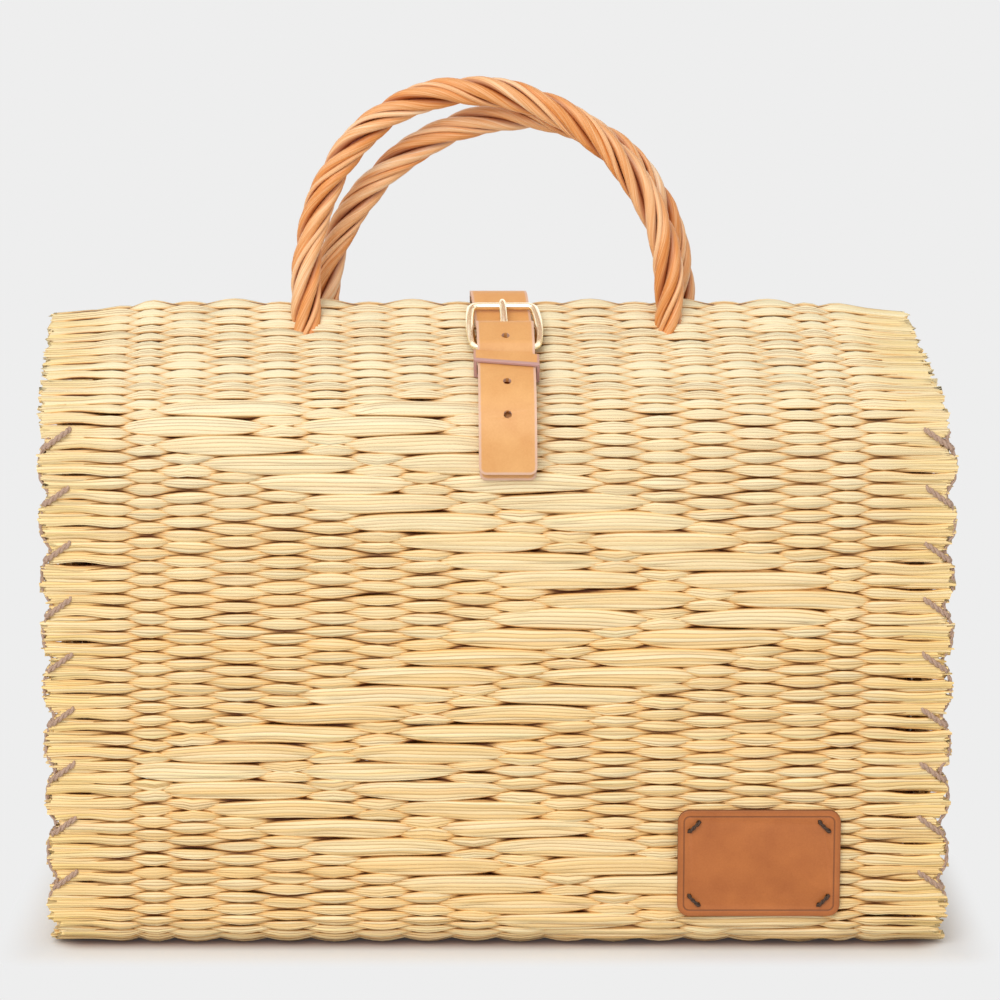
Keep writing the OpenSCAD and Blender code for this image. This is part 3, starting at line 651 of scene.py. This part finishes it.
def makeHandles():
    maker = Maker("willowRope", {**rope["front"], "Span": rope["span"], "Thickness": rope["thick"],
                                 "Lay": rope["lay"], "Leg": rope["legIn"]})
    graph, size = maker.graph, maker.size
    line = maker.stepped(maker.line((1, 0, 0)), rope["steps"])
    outerRods = rope["thickRods"] + rope["thinRods"]
    tubes = maker.tubes(maker.copies(line, outerRods + 1, "rod"), rope["sides"])
    rod, seed = maker.read("rod"), size["Seed"]
    high = size["Rise"] - size["Upright"]
    arch = (size["Span"] * 0.5 + high) * (math.pi / 2)
    leg = size["Leg"] + size["Upright"]
    run = maker.read("along") * (leg * 2.0 + arch) - leg
    bend = graph.clamp(run / arch, 0.0, 1.0) * math.pi
    drop = graph.math("MAXIMUM", run * -1.0, 0.0) + graph.math("MAXIMUM", run - arch, 0.0)
    outX = graph.cos(bend) * high * -1.0
    outZ = graph.sin(bend) * size["Span"] * 0.5 + graph.sin(bend * 2.0) * size["Lean"]
    reach = graph.math("SQRT", outX * outX + outZ * outZ)
    outX, outZ = outX / reach, outZ / reach

    # thick rods lie in a square, thin ones in two of the grooves between them
    core = rod > outerRods - 0.5
    thin = (rod > rope["thickRods"] - 0.5) - core
    wobble = graph.noise(run * 42.0, rod * 6.1, seed) - 0.5
    phase = (rod * (math.pi / 2) + thin * (math.pi / 4)
             + thin * (rod - rope["thickRods"]) * (math.pi / 2) + wobble * rope["wobble"])
    twist = phase + run / size["Lay"] * (2 * math.pi)
    thick = size["Thickness"]
    strand = thick / (2 + 2 * math.sqrt(2))
    swell = 1.0 + (graph.noise(run * 30.0, rod * 3.3, seed + 5.0) - 0.5) * rope["swell"]
    radius = graph.mix(graph.mix(strand, rope["thin"], thin) * swell, rope["core"], core)
    off = graph.mix(thick / 2.0 - strand, thick * rope["thinOut"], thin) * (1.0 - core)
    turn = maker.read("ring") * (2 * math.pi / rope["sides"])
    outward = off + graph.cos(turn) * radius
    sideways = graph.sin(turn) * radius
    alongY = graph.cos(twist) * outward - graph.sin(twist) * sideways
    alongOut = graph.sin(twist) * outward + graph.cos(twist) * sideways
    rise = graph.sin(bend)
    x = graph.cos(bend) * size["Span"] * -0.5 + rise * rise * size["Lean"] + outX * alongOut
    y = rope["legY"] - rise * (rope["legY"] - rope["crestY"]) + alongY
    z = legHeight + size["Upright"] + rise * high - drop + outZ * alongOut
    tubes = maker.place(tubes, x, y, z)
    tubes = maker.store(tubes, "tone", graph.chance(rod, seed, 2.0))
    # painted shade: the sides of each rod that face into the rope, and the whole core rod, which sits where
    # the rope is in shade
    hidden = graph.smooth(graph.cos(turn) * -1.0, -0.6, 0.4)
    tubes = maker.store(tubes, "deep", graph.math("MAXIMUM", hidden * 0.88, core))
    tubes = maker.store(tubes, "rodCoord", graph.xyz(run, turn, rod + seed), "FLOAT_VECTOR")
    maker.finish(tubes, willowMaterial())
    for end in ("front", "rear"):
        piece = maker.piece(end + "Handle", rope[end])
        turnRound = Matrix.Rotation(math.pi if end == "front" else 0, 4, "Z")
        piece.data.transform(Matrix.Translation((rope[end + "Shift"], 0, 0)) @ turnRound)
        settle(piece, "bag", "handle_" + end)


makeHandles()
print("handles made")

# jute twine of two plies in round-cornered loops, one loop to a stitch
twine = {"thick": 0.0024, "loopW": 0.0132, "loopH": 0.0114, "bend": 0.003, "tilt": math.radians(36),
         "bendSteps": 6, "twists": 8, "points": 88, "sides": 7, "plyOut": 0.23, "plyHalf": 0.29,
         "inX": 0.1786, "inY": 0.0607, "top": 0.214, "pitch": weave["stitchPitch"], "count": 9,
         "baseZ": 0.00825, "basePitch": 0.0243, "baseCount": 4, "runThick": 0.0017, "runLead": (0.003, 0.010),
         "runOut": 0.0004, "runIn": 0.0024, "runTwists": 26, "runPoints": 240, "runSway": 0.0022}
juteLook = {"pale": srgb(214, 184, 162), "dark": srgb(158, 124, 104), "rough": 0.9, "relief": (0.6, 0.0004)}
runTop = mat["wallTop"] + wallStart - weave["firstStitch"] + twine["runLead"][0]
runLength = twine["pitch"] * (twine["count"] - 1) + sum(twine["runLead"])

# dark waxed thread, in slanted stitches at the patch's corners
thread = {"thick": 0.0016, "loopW": 0.0062, "loopH": 0.0096, "bend": 0.0012, "twists": 7, "inset": 0.0068,
          "proud": 0.0001, "slant": math.radians(45)}
threadLook = dict(juteLook, pale=srgb(92, 66, 48), dark=srgb(44, 28, 18), rough=0.6)


def fibreMaterial(name, look):
    material, graph, shader = newMaterial(name)
    along, turn, ply = graph.split(attribute(graph, "plyCoord", "Vector"))
    fibre = graph.noise(along * 60.0 + turn * 3.0, turn * 7.0 - along * 40.0, ply * 5.0, 3.0)
    color = blendColor(graph, graph.smooth(fibre, 0.3, 0.7), look["dark"], look["pale"])
    finishLook(graph, shader, color, look["rough"], look["relief"], fibre)
    return material


# a closed stitch, or the twine that runs down the rush ends from stitch to stitch
def twineMaker(name, material, run=False):
    maker = Maker(name, {"Width": twine["loopW"], "Height": twine["loopH"], "Bend": twine["bend"],
                         "Thickness": twine["thick"], "Twists": twine["twists"], "Tilt": 0, "Count": 1,
                         "Pitch": twine["pitch"]})
    graph, size = maker.graph, maker.size
    if run:
        loop = maker.line((0, -runLength, 0))
    else:
        loop = graph.out("GeometryNodeCurvePrimitiveQuadrilateral", None,
                         {"Width": size["Width"], "Height": size["Height"]})
        loop = graph.out("GeometryNodeFilletCurve", {"mode": "POLY"},
                         {"Curve": loop, "Count": twine["bendSteps"], "Radius": size["Bend"],
                          "Limit Radius": True})
    loop = maker.stepped(loop, twine["runPoints"] if run else twine["points"])
    along = maker.read("along")
    if run:
        past = along * runLength - twine["runLead"][0]
        pulled = (graph.cos(past / twine["pitch"] * (2 * math.pi)) * 0.5 + 0.5) ** 2.0
        sway = (graph.noise(past * 70.0, 1.0, 2.0) - 0.5) * twine["runSway"]
        bend = mat["shoulderRadius"] - twine["runIn"]
        rise = graph.math("MAXIMUM", runTop - mat["wallTop"] - along * runLength, 0.0)
        inwards = sway + bend - graph.math("SQRT", bend ** 2 - rise * rise)
        loop = graph.out("GeometryNodeSetPosition", None,
                         {"Geometry": loop, "Offset": graph.xyz(pulled * -weave["pull"], 0.0, inwards)})
    plies = maker.copies(loop, 2, "ply")
    ply = maker.read("ply")
    angle = along * size["Twists"] * (2 * math.pi) + ply * math.pi
    side = graph.out("ShaderNodeVectorMath", {"operation": "CROSS_PRODUCT"},
                     {0: graph.out("GeometryNodeInputTangent"), 1: (0, 0, 1)})
    off = size["Thickness"] * twine["plyOut"]
    side = graph.out("ShaderNodeVectorMath", {"operation": "SCALE"},
                     {0: side, "Scale": graph.cos(angle) * off})
    shift = graph.out("ShaderNodeVectorMath", {"operation": "ADD"},
                      {0: side, 1: graph.xyz(0.0, 0.0, graph.sin(angle) * off)})
    plies = graph.out("GeometryNodeSetPosition", None, {"Geometry": plies, "Offset": shift})
    tubes = maker.tubes(plies, twine["sides"], size["Thickness"] * twine["plyHalf"], run)
    turn = maker.read("ring") * (2 * math.pi / twine["sides"])
    tubes = maker.store(tubes, "plyCoord", graph.xyz(along, turn, ply), "FLOAT_VECTOR")
    row = graph.out("GeometryNodeMeshLine", None, {"Count": size["Count"],
                                                   "Offset": graph.xyz(0.0, 0.0, size["Pitch"] * -1.0)})
    tilted = graph.out("FunctionNodeEulerToRotation", None, {0: graph.xyz(0.0, size["Tilt"], 0.0)})
    rows = graph.out("GeometryNodeInstanceOnPoints", None,
                     {"Points": row, "Instance": tubes, "Rotation": tilted})
    maker.finish(rows, material)
    return maker


# several meshes become one piece
def joined(parts, name):
    work = bmesh.new()
    for part in parts:
        work.from_mesh(part.data)
    mesh = bpy.data.meshes.new(name)
    work.to_mesh(mesh)
    work.free()
    mesh.materials.append(parts[0].data.materials[0])
    for part in parts:
        bpy.data.objects.remove(part)
    faceOut(mesh)
    return addObject(name, mesh)


def makeTwine():
    jute = fibreMaterial("juteTwine", juteLook)
    maker = twineMaker("juteStitches", jute)
    runMaker = twineMaker("juteRun", jute, True)
    for name, side in (("Left", -1), ("Right", 1)):
        parts = []
        for face in (-1, 1):
            part = maker.piece("seam", {"Tilt": twine["tilt"], "Count": twine["count"]})
            part.data.transform(Matrix.Diagonal((side, face, 1, 1))
                                @ Matrix.Translation((twine["inX"], twine["inY"], twine["top"])))
            parts.append(part)
            part = runMaker.piece("run", {"Thickness": twine["runThick"], "Twists": twine["runTwists"]})
            place = (mat["halfWidth"] + twine["runOut"], mat["halfDepth"] - twine["runIn"], runTop)
            part.data.transform(Matrix.Diagonal((side, face, 1, 1)) @ Matrix.Translation(place)
                                @ Matrix.Rotation(math.pi / 2, 4, "X"))
            parts.append(part)
        part = maker.piece("seam", {"Tilt": twine["tilt"], "Count": twine["baseCount"],
                                    "Pitch": twine["basePitch"]})
        start = (twine["inX"], twine["basePitch"] * (twine["baseCount"] - 1) / 2, twine["baseZ"])
        part.data.transform(Matrix.Diagonal((side, 1, 1, 1)) @ Matrix.Translation(start)
                            @ Matrix.Rotation(-math.pi / 2, 4, "X"))
        parts.append(part)
        settle(joined(parts, "seamTwine" + name), "bag", "seam_twine_" + name.lower())
    return jute


def makePatchStitches():
    dark = fibreMaterial("darkThread", threadLook)
    maker = twineMaker("patchSewing", dark)
    sizes = {"Width": thread["loopW"], "Height": thread["loopH"], "Bend": thread["bend"],
             "Thickness": thread["thick"], "Twists": thread["twists"]}
    lo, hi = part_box("label_patch")
    inset = thread["inset"]
    middle = lo.y - thread["thick"] / 2 - thread["proud"] + thread["loopH"] / 2
    parts = []
    for x, z, turn in ((lo.x + inset, lo.z + inset, -1), (hi.x - inset, lo.z + inset, 1),
                       (lo.x + inset, hi.z - inset, 1), (hi.x - inset, hi.z - inset, -1)):
        part = maker.piece("stitch", sizes)
        part.data.transform(Matrix.Translation((x, middle, z))
                            @ Matrix.Rotation(thread["slant"] * -turn, 4, "Y"))
        parts.append(part)
    settle(joined(parts, "patchStitches"), "bag", "patch_stitches")
    return dark


jute = makeTwine()
dark = makePatchStitches()
dress(frame["nodes"]["handle_ties"].data, jute)
dress(frame["nodes"]["strap_stitches"].data, dark)
print("twine made")

# leather in the solids' forms: eased edges, smooth skin, and raw flesh where it is cut
flapDown = Vector((0, -math.cos(mat["flapSlope"]), -math.sin(mat["flapSlope"])))
leather = {"weld": 0.00001, "flat": math.radians(0.6), "sharp": math.radians(32), "ease": 0.0003,
           "crisp": math.radians(24), "cut": 0.0004, "keeperSlant": 0.12, "endR": 0.0026, "endSteps": 5,
           "leanFrom": 0.267, "lean": 0.0043, "leanHalf": 0.030, "leanFull": 0.095,
           "rimWander": 0.0006, "grain": 1300.0, "cloud": 85.0, "relief": (0.3, 0.0004)}
tanLook = {"skin": srgb(230, 172, 106), "dark": srgb(210, 142, 76), "raw": srgb(222, 186, 166),
           "rim": (0.0013, 0.0006, 0.75), "cornerR": 0.003}
keeperLook = dict(tanLook, raw=srgb(192, 148, 140), band=(0.0012, 0.0018))
brownLook = {"skin": srgb(188, 110, 50), "dark": srgb(156, 82, 30), "raw": srgb(128, 74, 34),
             "rim": (0.0022, 0.0, 0.35), "cornerR": 0.005, "lineIn": 0.0026, "lineWide": 0.00042,
             "line": srgb(104, 56, 22)}


# the outline is a box with round corners, and the leather is raw along its rim
def leatherMaterial(name, look, outline):
    material, graph, shader = newMaterial(name)
    coords = graph.out("ShaderNodeTexCoord", pick="Object")
    fine, cloud = [graph.out("ShaderNodeTexNoise", None,
                             {"Vector": coords, "Scale": leather[pattern], "Detail": detail})
                   for pattern, detail in (("grain", 3.0), ("cloud", 4.0))]
    raw = attribute(graph, "raw")
    worn = graph.clamp(cloud * 1.1 + fine * 0.5 - 0.5, 0.0, 1.0)
    color = blendColor(graph, worn, look["skin"], look["dark"])
    height = fine * (0.3 + raw * 0.7)
    lo, hi = outline
    past = [abs(value - (lo[axis] + hi[axis]) / 2) - ((hi[axis] - lo[axis]) / 2 - look["cornerR"])
            for axis, value in ((0, attribute(graph, "across")), (2, graph.split(coords)[2]))]
    outside = [graph.math("MAXIMUM", side, 0.0) for side in past]
    inside = graph.math("MINIMUM", graph.math("MAXIMUM", past[0], past[1]), 0.0)
    edge = graph.math("SQRT", outside[0] ** 2.0 + outside[1] ** 2.0) + inside - look["cornerR"]
    rimIn, rimOut, rimShare = look["rim"]
    rim = graph.smooth(edge + (fine - 0.5) * leather["rimWander"], -rimIn, -rimOut) * rimShare
    if "band" in look:
        rim = graph.math("MAXIMUM", rim, 1.0 - graph.smooth(attribute(graph, "up"), *look["band"]))
    color = blendColor(graph, graph.clamp(raw * (0.6 + fine * 0.5) + rim, 0.0, 1.0), color, look["raw"])
    if "line" in look:
        off = abs(edge + look["lineIn"])
        line = 1.0 - graph.smooth(off, look["lineWide"] * 0.5, look["lineWide"])
        color = blendColor(graph, line * 0.7, color, look["line"])
        height = height - line * 1.5
    finishLook(graph, shader, color, 0.42 + raw * 0.4 + fine * 0.12, leather["relief"], height)
    return material


# the strap and what it carries lean to the right, more the further down the front they are
def leanRight(mesh):
    full = leather["leanFull"] / (leather["leanFull"] + leather["leanHalf"])
    for vert in mesh.vertices:
        if vert.co.y < 0:
            far = math.hypot(vert.co.y, leather["leanFrom"] - vert.co.z)
            vert.co.x += leather["lean"] * far / (far + leather["leanHalf"]) / full


# a CAD node's form with its sharp edges eased; isCut says which faces show raw leather
def easedCopy(node, name, material, isCut):
    mesh = frame["nodes"][node].data.copy()
    mesh.name = name
    work = bmesh.new()
    work.from_mesh(mesh)
    bmesh.ops.remove_doubles(work, verts=work.verts, dist=leather["weld"])
    bmesh.ops.dissolve_limit(work, angle_limit=leather["flat"], verts=work.verts, edges=work.edges)
    if node == "buckle_chape":
        tip = min(vert.co.z for vert in work.verts) + leather["cut"]
        ends = [edge for edge in work.edges if all(vert.co.z < tip for vert in edge.verts)
                and abs(edge.verts[0].co.x - edge.verts[1].co.x) < leather["cut"]]
        bmesh.ops.bevel(work, geom=ends, offset=leather["endR"], segments=leather["endSteps"], profile=0.5,
                        affect="EDGES")
    sharp = [edge for edge in work.edges
             if len(edge.link_faces) == 2 and edge.calc_face_angle() > leather["sharp"]]
    bmesh.ops.bevel(work, geom=sharp, offset=leather["ease"], segments=2, profile=0.5, affect="EDGES",
                    clamp_overlap=True)
    bmesh.ops.recalc_face_normals(work, faces=work.faces)
    layer = work.faces.layers.float.new("raw")
    for face in work.faces:
        face[layer] = 1.0 if isCut(face.normal, face.calc_center_median()) else 0.0
        face.smooth = True
    across, up = [work.verts.layers.float.new(label) for label in ("across", "up")]
    lowest = max(vert.co.dot(flapDown) for vert in work.verts)
    for vert in work.verts:
        vert[across], vert[up] = vert.co.x, lowest - vert.co.dot(flapDown)
    work.to_mesh(mesh)
    work.free()
    mesh.set_sharp_from_angle(angle=leather["crisp"])
    dress(mesh, material)
    return addObject(name, mesh)


def makeLeather():
    brown = leatherMaterial("brownLeather", brownLook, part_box("label_patch"))
    for node, name, body in (("closure_strap", "closureStrap", "bag"), ("buckle_chape", "buckleChape", "bag"),
                             ("strap_keeper", "strapKeeper", "keeper")):
        lo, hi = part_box(node)
        if body == "keeper":
            look, isCut = keeperLook, lambda way, at: abs(way.dot(flapDown)) > 0.5
        else:
            look, isCut = tanLook, lambda way, at: abs(way.x) > 0.4 or at.z < lo.z + leather["cut"]
        tan = leatherMaterial(name + "Leather", look, (lo, (hi.x, hi.y, 1.0)))  # the top has no rim
        piece = easedCopy(node, name, tan, isCut)
        if body == "keeper":
            for vert in piece.data.vertices:
                vert.co += flapDown * (vert.co.x * leather["keeperSlant"])
        leanRight(piece.data)
        settle(piece, body, node)
    patch = easedCopy("label_patch", "labelPatch", brown, lambda way, at: abs(way.y) < 0.5)
    settle(patch, "bag", "label_patch")


# the chape's sewing goes with the leaning leather
def makeChapeStitches():
    mesh = frame["nodes"]["chape_stitches"].data.copy()
    leanRight(mesh)
    dress(mesh, dark)
    settle(addObject("chapeStitches", mesh), "bag", "chape_stitches")


makeLeather()
makeChapeStitches()
print("leather made")

# polished brass: a bowed wire frame, and a flat prong with an eye round the heel bar
brass = {"halfLength": 0.0135, "halfWidth": 0.0143, "bow": 0.060, "corner": 0.003, "heelS": 0.0375,
         "heelN": 0.0050, "thick": 0.0014, "armWide": 0.00175, "toeWide": 0.0016, "heelWide": 0.00138,
         "sides": 14, "prongAngle": math.radians(5.42), "prongLength": 0.0283, "prongWide": 0.00162,
         "prongThick": 0.0010, "eyeMiddle": 0.0021, "eyeHalf": 0.0017, "eyeWall": 0.0006, "eyeSteps": 28,
         "cornerSteps": 7, "bowSteps": 14, "barX": (-0.008, -0.004, 0.0, 0.004, 0.008), "armEnd": 0.001,
         "heelFade": 0.003, "haze": 260.0, "pale": srgb(255, 250, 230), "deep": srgb(248, 234, 190)}
# share of the prong's length, and its width there
prongShape = ((0.065, 0.8), (0.1, 0.92), (0.3, 1.0), (0.6, 0.97), (0.85, 0.9), (0.94, 0.84), (0.975, 0.68),
              (0.992, 0.42), (1.0, 0.12))
onFlap = (Matrix.Translation((0, -mat["ridgeGap"] / 2, mat["ridgeHeight"]))
          @ Matrix.Rotation(mat["flapSlope"], 4, "X"))
atHeel = onFlap @ Matrix.Translation((0, -brass["heelS"], brass["heelN"]))


def brassMaterial():
    material, graph, shader = newMaterial("polishedBrass")
    coords = graph.out("ShaderNodeTexCoord", pick="Object")
    haze = graph.out("ShaderNodeTexNoise", None, {"Vector": coords, "Scale": brass["haze"], "Detail": 3.0})
    graph.feed(shader.inputs["Base Color"], blendColor(graph, haze, brass["pale"], brass["deep"]))
    graph.feed(shader.inputs["Roughness"], 0.12 + haze * 0.16)
    shader.inputs["Metallic"].default_value = 1.0
    return material


# skin over rings of points, closed into a loop or capped at both ends
def addSkin(work, rings, closed):
    rows = [[work.verts.new(point) for point in ring] for ring in rings]
    count = len(rows[0])
    for i in range(len(rows) if closed else len(rows) - 1):
        here, there = rows[i], rows[(i + 1) % len(rows)]
        for j in range(count):
            k = (j + 1) % count
            work.faces.new((here[j], here[k], there[k], there[j]))
    if not closed:
        work.faces.new(rows[0][::-1])
        work.faces.new(rows[-1])


# the skin in its place, leaning with the strap
def skinPiece(work, name, material, place):
    bmesh.ops.recalc_face_normals(work, faces=work.faces)
    for face in work.faces:
        face.smooth = True
    mesh = bpy.data.meshes.new(name)
    work.to_mesh(mesh)
    work.free()
    mesh.transform(place)
    mesh.materials.append(material)
    leanRight(mesh)
    return addObject(name, mesh)


def roundRing(middle, across, up, wide, thick):
    turns = [2 * math.pi * j / brass["sides"] for j in range(brass["sides"])]
    return [middle + across * (wide * math.cos(t)) + up * (thick * math.sin(t)) for t in turns]


def makeBuckle():
    material = brassMaterial()
    half, corner, bow = brass["halfLength"], brass["corner"], brass["bow"]
    lift = math.asin((half - corner) / (bow - corner))
    bowX = brass["halfWidth"] - bow
    cornerX = bowX + (bow - corner) * math.cos(lift)
    arcs = ((cornerX, corner - half, corner, -math.pi / 2, -lift, brass["cornerSteps"]),
            (bowX, 0, bow, -lift, lift, brass["bowSteps"]),
            (cornerX, half - corner, corner, lift, math.pi / 2, brass["cornerSteps"]))
    arm = [Vector((x + r * math.cos(a + (b - a) * k / n), y + r * math.sin(a + (b - a) * k / n), 0))
           for x, y, r, a, b, n in arcs for k in range(n + 1)]
    arm = [point for i, point in enumerate(arm) if i == 0 or (point - arm[i - 1]).length > 1e-6]
    heel = [Vector((x, -half, 0)) for x in brass["barX"]]
    toe = [Vector((-point.x, half, 0)) for point in heel]
    path = heel + arm + toe + [Vector((-point.x, point.y, 0)) for point in reversed(arm)]
    up = Vector((0, 0, 1))
    rings = []
    for i, point in enumerate(path):
        along = (path[(i + 1) % len(path)] - path[i - 1]).normalized()
        share = min(1, max(0, (point.y + half) / brass["heelFade"]))
        reach = brass["armWide"] if abs(point.y) < half - brass["armEnd"] else brass["toeWide"]
        wide = brass["heelWide"] + (reach - brass["heelWide"]) * share
        rings.append(roundRing(point, along.cross(up), up, wide, brass["thick"]))
    work = bmesh.new()
    addSkin(work, rings, True)
    wire = skinPiece(work, "buckleFrame", material, atHeel @ Matrix.Translation((0, half, 0)))
    settle(wire, "buckle", "buckle_frame")

    work = bmesh.new()
    lean = Vector((0, math.cos(brass["prongAngle"]), math.sin(brass["prongAngle"])))
    over = Vector((0, -lean.z, lean.y))
    side = Vector((1, 0, 0))
    rings = []
    for share, size in prongShape:
        rings.append(roundRing(lean * (brass["prongLength"] * share), side, over,
                               brass["prongWide"] * size, brass["prongThick"] * min(1, size * 1.15)))
    addSkin(work, rings, False)
    eye = []
    for k in range(brass["eyeSteps"]):
        turn = 2 * math.pi * k / brass["eyeSteps"]
        out = Vector((0, math.cos(turn), math.sin(turn)))
        eye.append(roundRing(out * brass["eyeMiddle"], side, out, brass["eyeHalf"], brass["eyeWall"]))
    addSkin(work, eye, True)
    settle(skinPiece(work, "bucklePoint", material, atHeel), "prong", "buckle_prong")


makeBuckle()
print("buckle made")
